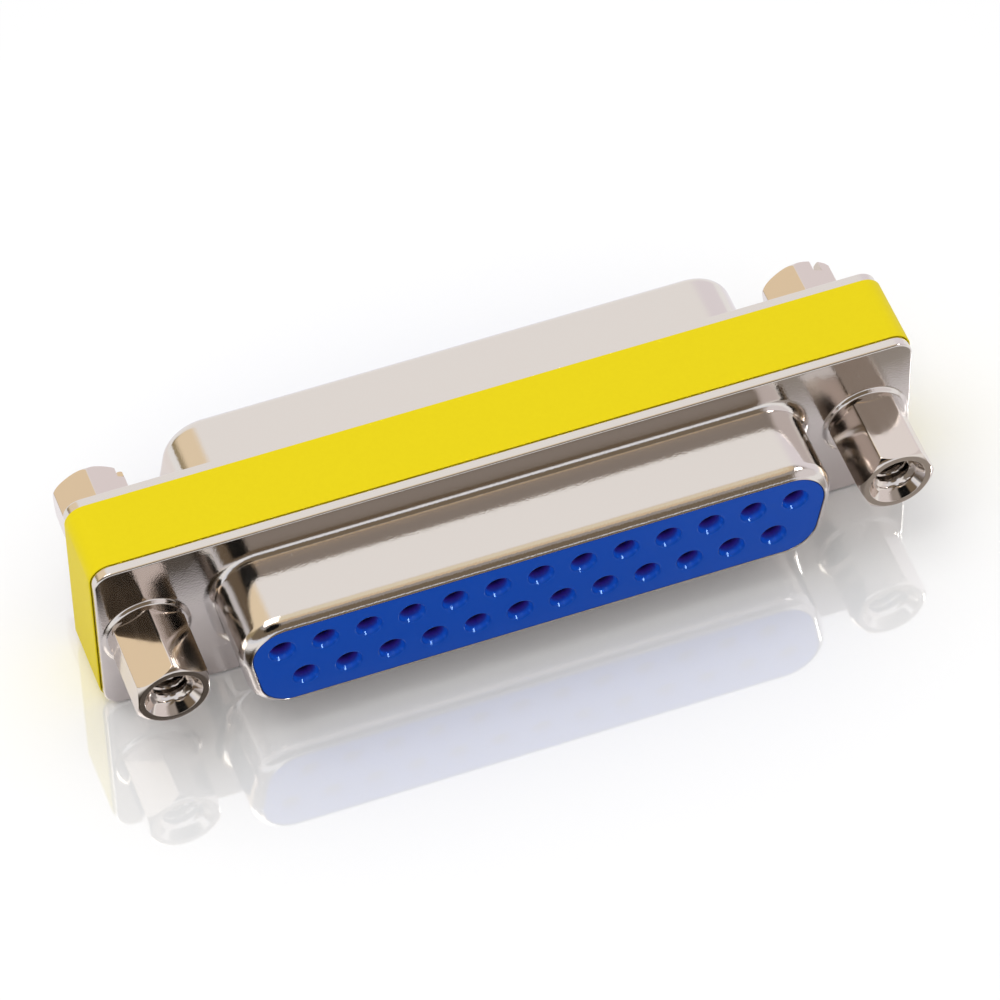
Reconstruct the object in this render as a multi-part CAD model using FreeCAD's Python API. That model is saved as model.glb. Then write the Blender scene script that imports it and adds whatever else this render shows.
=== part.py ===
import FreeCAD, Part
import math
import os

# A slim 25-way socket-to-socket adapter, standing on one long edge of its sleeve.
# Each half is made in its own frame: X along the connector, Y up, Z out of the mating face,
# with the middle plane between the two halves at Z = 0. The rear half is the front half turned
# half a turn about X, so its wide side is down and every contact joins two sockets of one number.
# The finished part has X along the connector, the front face towards -Y and Z up. All sizes are mm.

Vector = FreeCAD.Vector
ALONG = Vector(1, 0, 0)
UP = Vector(0, 1, 0)
OUT = Vector(0, 0, 1)

# Contact layout of the 25-way connector. Its number of contacts sets the length of everything else
pitch = 2.77
row_spacing = 2.84
wide_row_count = 13

# Pressed steel shells
sheet = 0.4
flange_height = 12.55
flange_corner = 1.2
flange_face = 3.15
bend_radius = 0.15
skirt_gap = 0.1

# D-shaped shroud of each shell, with the distance from the last contact to its widest point
shroud_end = 2.57
shroud_height = 8.0
shroud_slope = 10.0
shroud_corner = 2.9
shroud_reach = 8.8
lip_radius = 1.0
rim_inset = 0.65
root_radius = 0.3

# Round seats and holes for the jacks, whose axes stand off from the shroud's widest point
jack_offset = 4.33
seat_radius = 2.75
seat_rise = 0.2
seat_edge = 0.25
jack_hole_play = 0.1275

# Moulded insulators
insulator_play = 0.05
insulator_ledge = 1.21
insulator_corner = 1.0
insulator_side_gap = 0.35
face_recess = 0.1
mouth_radius = 0.88
mouth_depth = 0.4
throat_radius = 0.68
throat_depth = 1.1

# Double-ended contacts
barrel_radius = 0.875
barrel_play = 0.075
barrel_end_gap = 0.1
pin_bore_radius = 0.52
pin_bore_lead = 0.12
barrel_back_gap = 0.15
barrel_floor = 0.65
tine_slit = 0.2
tine_length = 3.2
web_width = 0.6
web_thickness = 0.35
web_bend = 0.5
web_setback = 0.5
web_play = 0.05
slot_depth = 2.2

# Yellow sleeve round the skirts
film = 0.1
film_gap = 0.02
film_setback = 0.55
butt_gap = 0.2
butt_place = -12.0

# Jack nuts and jack screws, with the 4-40 thread as plain cylinders: a free thread at its largest
# radius, and two threads that are screwed together at the pitch line that they share. The pitch line
# lies below the crests by a fixed share of the thread's pitch
across_flats = 4.5
jack_reach = 8.5
jack_rim_width = 0.37
jack_tip_round = 0.7
jack_tip_bulge = 0.15
jack_base_chamfer = 0.3
thread_radius = 1.4225
thread_pitch = 0.635
pitch_line_share = 0.3248
thread_play = 0.02
countersink_radius = 1.85
countersink_depth = 0.6
engaged_length = 1.5
stud_chamfer = 0.3
tapped_depth = 3.6
driver_slot = 0.6
driver_slot_depth = 0.8
front_hex_turns = (27.0, -6.0)
rear_hex_turns = (28.0, 22.0)
driver_slot_turns = (-35.0, -60.0)

# What follows from the sizes above
narrow_row_count = wide_row_count - 1
shroud_width = pitch * (wide_row_count - 1) + 2 * shroud_end
jack_spacing = shroud_width + 2 * jack_offset
flange_width = jack_spacing + 2 * (seat_radius + seat_edge)
insulator_width = shroud_width + 2 * insulator_ledge
half_height = flange_height / 2 + film_gap + film
inner_face = flange_face - sheet
seat_face = flange_face + seat_rise
cavity_radius = barrel_radius + barrel_play
insulator_face = shroud_reach - face_recess
cavity_end = insulator_face - throat_depth
barrel_front = cavity_end - barrel_end_gap
barrel_back = slot_depth + barrel_back_gap
web_straight = slot_depth - web_setback
row_height = row_spacing / 2
jack_hole_radius = thread_radius + jack_hole_play
jack_rim_radius = countersink_radius + jack_rim_width
engaged_radius = thread_radius - pitch_line_share * thread_pitch


def rounded_outline(points, radius):
    """Face inside a closed polygon whose corners are arcs of one radius."""
    corners = []
    for index, corner in enumerate(points):
        to_last = (points[index - 1] - corner).normalize()
        to_next = (points[(index + 1) % len(points)] - corner).normalize()
        half_angle = to_last.getAngle(to_next) / 2
        setback = radius / math.tan(half_angle)
        bisector = (to_last + to_next).normalize()
        middle = corner + bisector * (radius / math.sin(half_angle) - radius)
        corners.append((corner + to_last * setback, middle, corner + to_next * setback))
    edges = []
    for index, (start, middle, end) in enumerate(corners):
        following = corners[(index + 1) % len(corners)][0]
        edges.append(Part.Arc(start, middle, end).toShape())
        edges.append(Part.LineSegment(end, following).toShape())
    return Part.Face(Part.Wire(edges))


def rectangle_outline(width, height, radius, level=0.0):
    """Rounded rectangle round the Z axis at a level."""
    x = width / 2
    y = height / 2
    points = [Vector(-x, y, level), Vector(x, y, level), Vector(x, -y, level), Vector(-x, -y, level)]
    return rounded_outline(points, radius)


def d_outline(inset, level=0.0):
    """The shroud's D, wide side up, drawn inwards by inset all round."""
    slope = math.radians(shroud_slope)
    corner = shroud_corner - inset
    top = shroud_height / 2 - inset
    # The sharp corner stands outside the widest point of its arc
    x_top = shroud_width / 2 - inset + corner * (math.tan(slope) + 1 / math.cos(slope) - 1)
    x_bottom = x_top - 2 * top * math.tan(slope)
    points = [
        Vector(-x_top, top, level),
        Vector(x_top, top, level),
        Vector(x_bottom, -top, level),
        Vector(-x_bottom, -top, level),
    ]
    return rounded_outline(points, corner)


def edges_at(shape, level, half_width, half_length):
    """Edges that lie in the plane Z = level, within a half width in X and a half length in Y."""
    found = []
    for edge in shape.Edges:
        box = edge.BoundBox
        in_plane = abs(box.ZMin - level) < 1e-4 and abs(box.ZMax - level) < 1e-4
        reach_x = max(abs(box.XMin), abs(box.XMax))
        reach_y = max(abs(box.YMin), abs(box.YMax))
        if in_plane and reach_x < half_width + 1e-3 and reach_y < half_length + 1e-3:
            found.append(edge)
    return found


def rounded_top(shape, radius):
    """The shape with every edge of its top plane rounded."""
    top = shape.BoundBox.ZMax
    return shape.makeFillet(radius, edges_at(shape, top, flange_width, flange_width))


def jack_centres(level=0.0):
    """Axes of the left and the right jack."""
    return [Vector(side * jack_spacing / 2, 0, level) for side in (-1, 1)]


def tray_form(inset):
    """Solid form of one pressed shell, drawn inwards by inset on every side but the open one."""
    start = skirt_gap / 2 - inset
    face = flange_face - inset
    plate = rectangle_outline(flange_width - 2 * inset, flange_height - 2 * inset, flange_corner - inset, start)
    plate = plate.extrude(OUT * (face - start))
    if bend_radius > inset:
        plate = rounded_top(plate, bend_radius - inset)
    tower = d_outline(inset, start).extrude(OUT * (shroud_reach - inset - start))
    tower = rounded_top(tower, lip_radius - inset)
    form = plate.fuse(tower)
    root = edges_at(form, face, shroud_width / 2 - inset, shroud_height / 2 - inset)
    form = form.makeFillet(root_radius + inset, root)
    for centre in jack_centres(start):
        seat = Part.makeCylinder(seat_radius - inset, face + seat_rise - start, centre, OUT)
        form = form.fuse(seat)
    return form.removeSplitter()


def shell():
    """Pressed shell: flange with its turned-back skirt, jack seats, and shroud with an inward lip."""
    pressed = tray_form(0.0).cut(tray_form(sheet))
    opening = d_outline(rim_inset, inner_face).extrude(OUT * shroud_reach)
    pressed = pressed.cut(opening)
    for centre in jack_centres():
        pressed = pressed.cut(Part.makeCylinder(jack_hole_radius, shroud_reach, centre, OUT))
    return pressed


def contact_places():
    """Centres of the sockets seen from the front: the wide row above, then the narrow row."""
    places = []
    for count, height in ((wide_row_count, row_height), (narrow_row_count, -row_height)):
        first = -pitch * (count - 1) / 2
        places += [Vector(first + pitch * index, height, 0) for index in range(count)]
    return places


def revolved(profile):
    """Solid of a closed half profile of (radius, level) pairs turned about Z."""
    points = [Vector(radius, 0, level) for radius, level in profile]
    face = Part.Face(Part.makePolygon(points + [points[0]]))
    return face.revolve(Vector(), OUT, 360)


def cavity():
    """Room for one socket: countersunk mouth, throat, and the bore that the barrel sits in."""
    above = insulator_face + mouth_depth
    mouth_slope = (mouth_radius - throat_radius) / mouth_depth
    return revolved([
        (0, slot_depth),
        (cavity_radius, slot_depth),
        (cavity_radius, cavity_end),
        (throat_radius, cavity_end),
        (throat_radius, insulator_face - mouth_depth),
        (mouth_radius + mouth_slope * mouth_depth, above),
        (0, above),
    ])


def insulator():
    """Moulded block: flange behind the shell, nose in the shroud, face in its opening."""
    inset = sheet + insulator_play
    height = flange_height - 2 * sheet - 2 * insulator_side_gap
    flange = rectangle_outline(insulator_width, height, insulator_corner)
    block = flange.extrude(OUT * (flange_face - inset))
    nose = d_outline(inset).extrude(OUT * (shroud_reach - inset))
    block = block.fuse(rounded_top(nose, lip_radius - inset))
    face = d_outline(rim_inset + insulator_play).extrude(OUT * insulator_face)
    block = block.fuse(face)
    room = cavity()
    for place in contact_places():
        block = block.cut(room.translated(place))
    slot_height = row_spacing + web_thickness + 2 * web_play
    slot_width = web_width + 2 * web_play
    for place in contact_places():
        corner = Vector(place.x - slot_width / 2, -slot_height / 2, 0)
        block = block.cut(Part.makeBox(slot_width, slot_height, slot_depth, corner))
    return block


def barrel():
    """Socket barrel with a closed back and two tines either side of a slit."""
    tube = revolved([
        (0, barrel_back),
        (barrel_radius, barrel_back),
        (barrel_radius, barrel_front),
        (pin_bore_radius + pin_bore_lead, barrel_front),
        (pin_bore_radius, barrel_front - pin_bore_lead),
        (pin_bore_radius, barrel_back + barrel_floor),
        (0, barrel_back + barrel_floor),
    ])
    corner = Vector(-barrel_radius, -tine_slit / 2, barrel_front - tine_length)
    return tube.cut(Part.makeBox(2 * barrel_radius, tine_slit, tine_length, corner))


def web():
    """Strip that steps from the row of one barrel to the row of the other in two tangent bends."""
    buried = barrel_back + barrel_floor / 2
    points = [
        Vector(0, row_height, buried),
        Vector(0, row_height, web_straight),
        Vector(0, -row_height, -web_straight),
        Vector(0, -row_height, -buried),
    ]
    edges = []
    start = points[0]
    for before, corner, after in zip(points, points[1:], points[2:]):
        to_last = (before - corner).normalize()
        to_next = (after - corner).normalize()
        half_angle = to_last.getAngle(to_next) / 2
        setback = web_bend / math.tan(half_angle)
        middle = corner + (to_last + to_next).normalize() * (web_bend / math.sin(half_angle) - web_bend)
        edges.append(Part.LineSegment(start, corner + to_last * setback).toShape())
        edges.append(Part.Arc(corner + to_last * setback, middle, corner + to_next * setback).toShape())
        start = corner + to_next * setback
    edges.append(Part.LineSegment(start, points[-1]).toShape())
    x = web_width / 2
    y = web_thickness / 2
    section = [points[0] + Vector(dx, dy, 0) for dx, dy in ((-x, -y), (x, -y), (x, y), (-x, y), (-x, -y))]
    return Part.Wire(edges).makePipeShell([Part.makePolygon(section)], True, False)


def contact():
    """Double-ended contact for the wide row of the front face."""
    front = barrel().translated(UP * row_height)
    rear = front.rotated(Vector(), ALONG, 180)
    return front.fuse([rear, web()]).removeSplitter()


def contacts():
    """The 25 contacts in order. A narrow-row contact is the wide-row one turned about Z."""
    wide = contact()
    narrow = wide.rotated(Vector(), OUT, 180)
    pieces = []
    for place in contact_places():
        piece = wide if place.y > 0 else narrow
        pieces.append(piece.translated(ALONG * place.x))
    return pieces


def sleeve():
    """Thin film wrapped round both skirts, with its two ends butted on the underside."""
    half_width = flange_face - bend_radius - film_setback
    solids = []
    for grown in (film_gap + film, film_gap):
        width = flange_width + 2 * grown
        height = flange_height + 2 * grown
        outline = rectangle_outline(width, height, flange_corner + grown, -half_width)
        solids.append(outline.extrude(OUT * (2 * half_width)))
    corner = Vector(butt_place - butt_gap / 2, -half_height - film, -half_width)
    butt = Part.makeBox(butt_gap, half_height + film - flange_height / 2, 2 * half_width, corner)
    return solids[0].cut(solids[1]).cut(butt)


def hexagon_body(turn):
    """Hexagonal body of a jack: rounded towards its tip and chamfered where it seats."""
    corner_radius = across_flats / math.sqrt(3)
    corners = []
    for index in range(6):
        angle = math.radians(turn + 60 * index)
        corners.append(Vector(corner_radius * math.cos(angle), corner_radius * math.sin(angle), seat_face))
    prism = Part.Face(Part.makePolygon(corners + [corners[0]])).extrude(OUT * (jack_reach - seat_face))
    shoulder = jack_reach - jack_tip_round
    start = Vector(corner_radius, 0, shoulder)
    end = Vector(jack_rim_radius, 0, jack_reach)
    outwards = UP.cross(end - start).normalize()
    bulge = (start + end) / 2 + outwards * jack_tip_bulge
    base = Vector(corner_radius - jack_base_chamfer, 0, seat_face)
    edges = [
        Part.LineSegment(Vector(0, 0, seat_face), base).toShape(),
        Part.LineSegment(base, Vector(corner_radius, 0, seat_face + jack_base_chamfer)).toShape(),
        Part.LineSegment(Vector(corner_radius, 0, seat_face + jack_base_chamfer), start).toShape(),
        Part.Arc(start, bulge, end).toShape(),
        Part.LineSegment(end, Vector(0, 0, jack_reach)).toShape(),
        Part.LineSegment(Vector(0, 0, jack_reach), Vector(0, 0, seat_face)).toShape(),
    ]
    turned = Part.Face(Part.Wire(edges)).revolve(Vector(), OUT, 360)
    return prism.common(turned)


def tapped_hole(depth):
    """Countersunk free thread, from the tip of a jack down to a depth."""
    sink_end = jack_reach - countersink_depth
    sink_slope = (countersink_radius - thread_radius) / countersink_depth
    return revolved([
        (0, jack_reach - depth),
        (thread_radius, jack_reach - depth),
        (thread_radius, sink_end),
        (countersink_radius + sink_slope * countersink_depth, jack_reach + countersink_depth),
        (0, jack_reach + countersink_depth),
    ])


def jack_nut(turn):
    """Front jack: tapped right through, its inner turns held by the screw from the rear."""
    free_depth = jack_reach - seat_face - engaged_length
    engaged = Part.makeCylinder(engaged_radius + thread_play, jack_reach, Vector(), OUT)
    return hexagon_body(turn).cut(tapped_hole(free_depth)).cut(engaged)


def jack_screw(turn, slot_turn):
    """Rear jack: slotted and tapped head, with a stud that reaches into the front jack."""
    head = hexagon_body(turn).cut(tapped_hole(tapped_depth))
    corner = Vector(-across_flats, -driver_slot / 2, jack_reach - driver_slot_depth)
    slot = Part.makeBox(2 * across_flats, driver_slot, driver_slot_depth, corner)
    head = head.cut(slot.rotated(Vector(), OUT, slot_turn))
    stud_radius = engaged_radius - thread_play
    stud_end = -seat_face - engaged_length + thread_play
    stud = revolved([
        (0, seat_face),
        (thread_radius, seat_face),
        (thread_radius, -seat_face + thread_play),
        (stud_radius, -seat_face + thread_play),
        (stud_radius, stud_end + stud_chamfer),
        (stud_radius - stud_chamfer, stud_end),
        (0, stud_end),
    ])
    return head.fuse(stud)


def as_front(shape):
    """Stand a half up with its mating face towards -Y and its lowest edge on Z = 0."""
    return shape.rotated(Vector(), ALONG, 90).translated(OUT * half_height)


def as_rear(shape):
    """Stand a half up behind the front one, turned over about X."""
    return as_front(shape.rotated(Vector(), ALONG, 180))


def at_jacks(pieces):
    """The left and the right jack of one side, each on its own axis."""
    return [piece.translated(centre) for piece, centre in zip(pieces, jack_centres())]


def build():
    """Every node's shape, by name, in the part's own frame."""
    pressed = shell()
    moulded = insulator()
    nuts = at_jacks([jack_nut(turn) for turn in front_hex_turns])
    screws = at_jacks([jack_screw(turn, slot) for turn, slot in zip(rear_hex_turns, driver_slot_turns)])
    nodes = {
        "front_shell": as_front(pressed),
        "rear_shell": as_rear(pressed),
        "front_insulator": as_front(moulded),
        "rear_insulator": as_rear(moulded),
        "yellow_sleeve": as_front(sleeve()),
        "front_jack_nuts": Part.Compound([as_front(nut) for nut in nuts]),
        "rear_jack_screws": Part.Compound([as_rear(screw) for screw in screws]),
    }
    for number, piece in enumerate(contacts(), start=1):
        nodes[f"contact_{number:02d}"] = as_front(piece)
    return nodes


os.makedirs("parts", exist_ok=True)
for name, shape in build().items():
    shape.exportStep(os.path.join("parts", name + ".step"))
    print(name, "solids", len(shape.Solids), "valid", shape.isValid(), "volume", round(shape.Volume, 3))
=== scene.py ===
"""Looks of a slim 25-way adapter with sockets on both faces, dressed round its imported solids.

Sizes are millimetres, and become metres where a mesh is made. Each half is drawn in a frame of its
own: X along the connector, Y up, Z out of the mating face, and the middle plane at Z = 0. The rear
half is the front half turned half a turn about X.
"""

import logging
import math
from dataclasses import dataclass, field
from enum import Enum
from typing import Any, Callable, Iterable

import bmesh
import bpy
import numpy as np
from mathutils import Matrix, Vector


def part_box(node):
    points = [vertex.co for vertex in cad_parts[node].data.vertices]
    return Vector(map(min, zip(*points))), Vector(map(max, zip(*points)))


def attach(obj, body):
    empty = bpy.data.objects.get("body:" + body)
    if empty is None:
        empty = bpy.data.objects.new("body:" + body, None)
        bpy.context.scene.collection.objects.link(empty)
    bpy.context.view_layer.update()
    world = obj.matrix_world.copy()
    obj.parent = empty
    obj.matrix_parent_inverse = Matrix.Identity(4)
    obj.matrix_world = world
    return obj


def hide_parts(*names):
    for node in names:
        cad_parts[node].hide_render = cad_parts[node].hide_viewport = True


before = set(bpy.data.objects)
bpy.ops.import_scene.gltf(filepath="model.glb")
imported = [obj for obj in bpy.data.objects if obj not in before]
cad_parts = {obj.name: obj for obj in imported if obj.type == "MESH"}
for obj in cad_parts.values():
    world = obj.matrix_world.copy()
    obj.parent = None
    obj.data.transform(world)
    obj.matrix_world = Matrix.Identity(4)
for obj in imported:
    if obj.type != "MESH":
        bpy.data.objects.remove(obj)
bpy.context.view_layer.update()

log = logging.getLogger("adapter")

MM = 0.001
# Points nearer to each other than this become one.
WELD_MM = 0.001
# A row stands this near to an edge, so that the edge stays crisp under smooth shading.
EDGE_HOLD_MM = 0.02
THREAD_PITCH_MM = 0.635
# Flats of the thread's profile, as shares of its pitch.
THREAD_CREST_FLAT = 0.125
THREAD_ROOT_FLAT = 0.25
# Edges that turn more than this stay sharp, on sheet and mouldings and on turned pieces.
SHEET_SHARP_DEGREES = 35
TURNED_SHARP_DEGREES = 40
# A distance in millimetres that counts as none, and the rounding that makes near places equal.
NEARLY = 1e-6
SHARED_DECIMALS = 9
WHITE = (1.0, 1.0, 1.0, 1.0)
EASED = "SMOOTHSTEP"
Array = np.ndarray


class Side(Enum):
    """The half that a piece belongs to, with the sign that takes it there."""

    FRONT = 1
    REAR = -1


class Slot(Enum):
    """The record's material slots."""

    SHELL = "nickel_shell"
    JACK = "nickel_jack"
    PLASTIC = "blue_plastic"
    FILM = "yellow_film"


# Turns of the left and the right jack's hexagon and driver slot, in degrees. The front ones have no slot.
HEX_TURNS = {Side.FRONT: (27.0, -6.0), Side.REAR: (28.0, 22.0)}
SLOT_TURNS = {Side.FRONT: None, Side.REAR: (-35.0, -60.0)}


def node_size_mm(name: str) -> tuple[Array, Array]:
    """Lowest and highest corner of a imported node.

    Args:
        name: The node's name.

    Returns:
        Both corners in millimetres.
    """
    low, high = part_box(name)
    return np.array(low) / MM, np.array(high) / MM


@dataclass
class HalfPiece:
    """A piece of one half, and the height of the connector's axis above the floor."""

    side: Side
    middle: float

    def place(self, points: Array) -> Array:
        """Turn points of the half's own frame into the part's frame, in metres.

        The front half turns +90 degrees about X, and the rear half -90 degrees, and both are lifted.

        Args:
            points: Rows of x, y, z in millimetres.

        Returns:
            Rows of x, y, z in metres.
        """
        x, y, z = np.asarray(points, float).reshape(-1, 3).T
        return np.column_stack([x, -self.side.value * z, self.side.value * y + self.middle]) * MM


def arc(start: float, stop: float, steps: int) -> Array:
    """Evenly spaced angles in degrees, as radians, both ends included."""
    return np.radians(np.linspace(start, stop, steps + 1))


def even(count: int) -> Array:
    """Places that cut a straight side into equal parts, without its ends."""
    return np.linspace(0, 1, count + 1)[1:-1]


def level_row(points: Array, height: float) -> Array:
    """Points of a plane, rows of x, y, as one row of grid points at a height."""
    return np.column_stack([points, np.full(len(points), height)])


def spread(inner: Array, outer: Array, shares: Iterable[float], height: float) -> list[Array]:
    """Rows of grid points between two loops at one height.

    Args:
        inner: Rows of x, y.
        outer: As many rows of x, y.
        shares: Where each row lies, from 0 at the inner loop to 1 at the outer one.
        height: The height.

    Returns:
        One row of grid points for each share.
    """
    return [level_row(inner + (outer - inner) * share, height) for share in shares]


@dataclass
class Surface:
    """Patches of points and faces that are welded into one closed piece."""

    points: list[Array] = field(default_factory=list)
    faces: list[Array] = field(default_factory=list)
    count: int = 0

    def grid(self, points: Array, wrap_columns: bool = False, wrap_rows: bool = False) -> Array:
        """Add a grid of points with a quad between each four neighbours.

        Args:
            points: Rows by columns by 3.
            wrap_columns: Whether the last column joins the first.
            wrap_rows: Whether the last row joins the first.

        Returns:
            The number of each grid point, rows by columns.
        """
        rows, columns = points.shape[:2]
        index = np.arange(rows * columns).reshape(rows, columns) + self.count
        self.points.append(points.reshape(-1, 3))
        self.count += rows * columns
        wide = np.hstack([index, index[:, :1]]) if wrap_columns else index
        tall = np.vstack([wide, wide[:1]]) if wrap_rows else wide
        quads = np.stack([tall[:-1, :-1], tall[:-1, 1:], tall[1:, 1:], tall[1:, :-1]], axis=-1)
        self.faces.append(quads.reshape(-1, 4))
        return index

    def bridge(self, first: Array, second: Array, closed: bool = True) -> None:
        """Join two rows of point numbers by a strip of quads.

        Args:
            first: One row.
            second: The other row, as long and in the same order.
            closed: Whether the rows are loops.
        """
        if closed:
            first = np.append(first, first[0])
            second = np.append(second, second[0])
        self.faces.append(np.stack([first[:-1], first[1:], second[1:], second[:-1]], axis=-1))

    def mesh(self, name: str, place: Callable[[Array], Array], sharp_degrees: float) -> bpy.types.Mesh:
        """Weld the patches, turn the faces outwards and smooth them.

        Args:
            name: Name of the mesh.
            place: Turns the points into the part's frame, in metres.
            sharp_degrees: Edges that turn more than this stay sharp.

        Returns:
            The finished mesh.
        """
        mesh = bpy.data.meshes.new(name)
        points = place(np.vstack(self.points))
        mesh.from_pydata(points.tolist(), [], np.vstack(self.faces).tolist())
        work = bmesh.new()
        work.from_mesh(mesh)
        bmesh.ops.remove_doubles(work, verts=work.verts, dist=WELD_MM * MM)
        bmesh.ops.dissolve_degenerate(work, edges=work.edges, dist=WELD_MM * MM / 10)
        bmesh.ops.recalc_face_normals(work, faces=work.faces)
        work.to_mesh(mesh)
        work.free()
        mesh.shade_smooth()
        mesh.set_sharp_from_angle(angle=math.radians(sharp_degrees))
        return mesh


@dataclass(frozen=True)
class Outline:
    """A closed outline with round corners, as points and outward unit normals, anticlockwise."""

    points: Array
    normals: Array
    corners: tuple[tuple[int, int, int], ...]

    def level(self, distance: float, height: float) -> Array:
        """One row of grid points: each point plus its normal times the distance, at a height."""
        return level_row(self.points + self.normals * distance, height)

    def onto_rectangle(self, half_x: float, half_y: float) -> Array:
        """One point on a rectangle for each point of the outline.

        Corners are numbered from the top right, anticlockwise. The middle of each corner's arc goes
        to the rectangle's corner. The first and second half of the arc, and the straight sides, are
        spread evenly by number between these.

        Args:
            half_x: Half the rectangle's width.
            half_y: Half the rectangle's height.

        Returns:
            Rows of x, y.
        """
        keys, xs, ys = [], [], []
        for number, (start, middle, end) in enumerate(self.corners):
            right = half_x if number in (0, 3) else -half_x
            top = half_y if number in (0, 1) else -half_y
            side_y = self.points[start][1], self.points[end][1]
            side_x = self.points[start][0], self.points[end][0]
            upright_first = number in (0, 2)
            first = (right, side_y[0]) if upright_first else (side_x[0], top)
            last = (side_x[1], top) if upright_first else (right, side_y[1])
            keys += [start, middle, end]
            xs += [first[0], right, last[0]]
            ys += [first[1], top, last[1]]
        keys.append(len(self.points))
        xs.append(xs[0])
        ys.append(ys[0])
        order = np.arange(len(self.points))
        return np.column_stack([np.interp(order, keys, xs), np.interp(order, keys, ys)])


def rounded(corners: Array, radius: float, arc_steps: int, sides: Iterable[Array]) -> Outline:
    """Outline of an anticlockwise polygon whose corners are arcs of one radius.

    An arc's normal turns evenly from the normal of one side to that of the next, and the arc's
    centre stands inside the corner by the radius from both sides.

    Args:
        corners: Rows of x, y.
        radius: The arcs' radius.
        arc_steps: Steps of each arc, an even number.
        sides: For each corner, places along the straight side that follows it, from 0 to 1.

    Returns:
        The outline, which starts with the first corner's arc.
    """
    count = len(corners)
    centres, angles = [], []
    for number in range(count):
        before = corners[number] - corners[number - 1]
        after = corners[(number + 1) % count] - corners[number]
        turns = [math.atan2(-step[0], step[1]) for step in (before, after)]
        turns[1] = turns[0] + (turns[1] - turns[0]) % (2 * math.pi)
        normals = [np.array([math.cos(turn), math.sin(turn)]) for turn in turns]
        inwards = (normals[0] + normals[1]) / (1 + normals[0] @ normals[1])
        centres.append(corners[number] - inwards * radius)
        angles.append(turns)
    points, normals, marks = [], [], []
    total = 0
    for number, places in enumerate(sides):
        turns = np.linspace(*angles[number], arc_steps + 1)
        round_normals = np.column_stack([np.cos(turns), np.sin(turns)])
        points.append(centres[number] + round_normals * radius)
        normals.append(round_normals)
        marks.append((total, total + arc_steps // 2, total + arc_steps))
        straight = round_normals[-1]
        start = points[-1][-1]
        end = centres[(number + 1) % count] + straight * radius
        places = np.asarray(places, float)[:, None]
        points.append(start + (end - start) * places)
        normals.append(np.repeat(straight[None], len(places), axis=0))
        total += arc_steps + 1 + len(places)
    return Outline(np.vstack(points), np.vstack(normals), tuple(marks))


@dataclass(frozen=True)
class DShape:
    """The D of the connector: a rounded trapezium with its wide side up."""

    width: float = 38.38
    height: float = 8.0
    slope_degrees: float = 10.0
    corner: float = 2.9

    def corners(self, inset: float) -> Array:
        """Sharp corners of the D drawn inwards, from the top right, anticlockwise.

        Args:
            inset: How far inwards.

        Returns:
            Rows of x, y.
        """
        slope = math.radians(self.slope_degrees)
        corner = self.corner - inset
        top = self.height / 2 - inset
        x_top = self.width / 2 - inset + corner * (math.tan(slope) + 1 / math.cos(slope) - 1)
        x_low = x_top - 2 * top * math.tan(slope)
        return np.array([[x_top, top], [-x_top, top], [-x_low, -top], [x_low, -top]])

    def outline(self, arc_steps: int, long_steps: int, short_steps: int) -> Outline:
        """The D at its full size.

        Args:
            arc_steps: Steps of each corner.
            long_steps: Parts of the wide and the narrow side.
            short_steps: Parts of the slanted sides.

        Returns:
            The outline.
        """
        return rounded(self.corners(0), self.corner, arc_steps, [even(long_steps), even(short_steps)] * 2)


def add_node(tree: bpy.types.NodeTree, kind: str, inputs: dict[str | int, Any] | None = None,
             **settings: Any) -> Any:
    """Add a node with its settings, values and links.

    Args:
        tree: The node tree.
        kind: The node's type name.
        inputs: Value or output socket for each input, by name or number.
        settings: Properties of the node.

    Returns:
        The node.
    """
    node = tree.nodes.new(kind)
    for name, value in settings.items():
        setattr(node, name, value)
    for name, value in (inputs or {}).items():
        if isinstance(value, bpy.types.NodeSocket):
            tree.links.new(value, node.inputs[name])
        else:
            node.inputs[name].default_value = value
    return node


def linear(colour: str) -> tuple[float, float, float, float]:
    """Linear colour of an sRGB hex value: each channel goes through the sRGB curve."""
    channels = [int(colour[start:start + 2], 16) / 255 for start in (1, 3, 5)]
    curve = [value / 12.92 if value <= 0.04045 else ((value + 0.055) / 1.055) ** 2.4 for value in channels]
    return (*curve, 1.0)


def per_metre(period_mm: float) -> float:
    """Scale of a pattern on Object coordinates whose features are this far apart."""
    return 1 / (period_mm * MM)


def lay_over(tree: bpy.types.NodeTree, under: Any, over: Any, value: Any, ends: Iterable[float],
             easing: str = "LINEAR") -> Any:
    """Lay a colour over another where a value goes from one number to another.

    Args:
        tree: Where the nodes go.
        under: First colour, or the socket that gives it.
        over: Second colour, or the socket that gives it.
        value: Socket with the value.
        ends: The values at which the second colour starts and at which it is full.
        easing: How the change goes between them.

    Returns:
        The socket that gives the colour.
    """
    start, stop = ends
    cover = add_node(tree, "ShaderNodeMapRange", {"Value": value, "From Min": start, "From Max": stop},
                     interpolation_type=easing)
    return add_node(tree, "ShaderNodeMix", {"Factor": cover.outputs[0], "A": under, "B": over},
                    data_type="RGBA").outputs["Result"]


@dataclass(frozen=True)
class Finish:
    """A named finish on Object coordinates. Each kind builds a surface of its own."""

    name: str

    def surface(self, tree: bpy.types.NodeTree, coordinates: Any) -> Any:
        """Build the nodes.

        Args:
            tree: Where the nodes go.
            coordinates: Socket with the place on the object, in metres.

        Returns:
            The shader's socket.
        """
        raise NotImplementedError

    def material(self) -> bpy.types.Material:
        """The material, made of this surface alone.

        Returns:
            The material.
        """
        material = bpy.data.materials.new(self.name)
        material.use_nodes = True
        tree = material.node_tree
        tree.nodes.clear()
        coordinates = add_node(tree, "ShaderNodeTexCoord").outputs["Object"]
        add_node(tree, "ShaderNodeOutputMaterial", {"Surface": self.surface(tree, coordinates)})
        return material


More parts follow.
